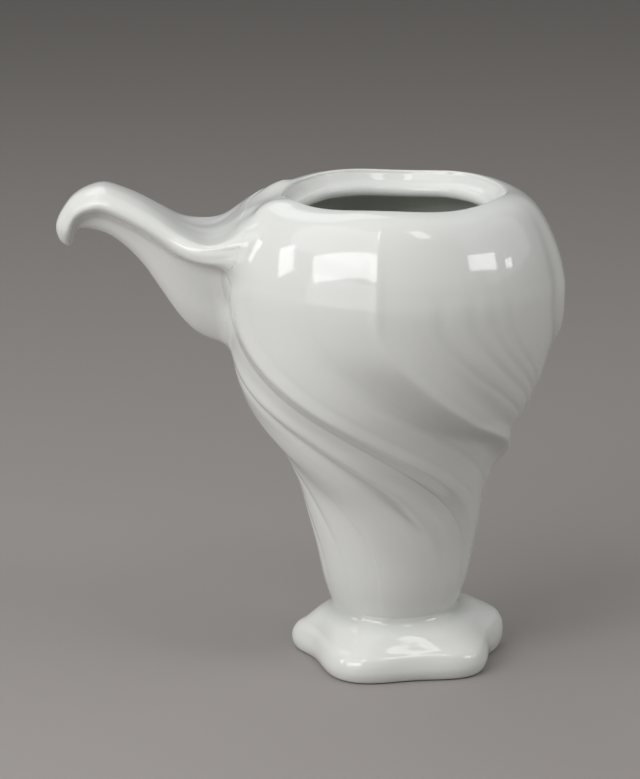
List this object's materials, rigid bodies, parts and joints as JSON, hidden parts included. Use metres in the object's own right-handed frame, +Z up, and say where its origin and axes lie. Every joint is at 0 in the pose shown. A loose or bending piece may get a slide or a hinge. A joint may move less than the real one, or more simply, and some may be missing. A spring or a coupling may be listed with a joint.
{
  "type": "cream jug",
  "caption": "White glazed porcelain cream jug: a petalled, twisting bowl on a lobed foot, with a broad, shallow open spout that curls down at its tip.",
  "frame": {"origin": "on the table, under the middle of the whole jug's outline; the bowl's axis stands at x = 0.0205 m", "axes": "+Z up, -X the way the spout points, -Y the side that the picture shows"},
  "size_m": [0.1258, 0.0846, 0.1217],
  "materials": {
    "glaze_bowl": "clear gloss glaze over white porcelain",
    "glaze_foot": "clear gloss glaze over white porcelain, bare biscuit on the standing ring",
    "glaze_spout": "clear gloss glaze over white porcelain"
  },
  "bodies": {
    "root": {"bowl": "glaze_bowl", "foot": "glaze_foot", "spout": "glaze_spout"}
  },
  "joints": []
}
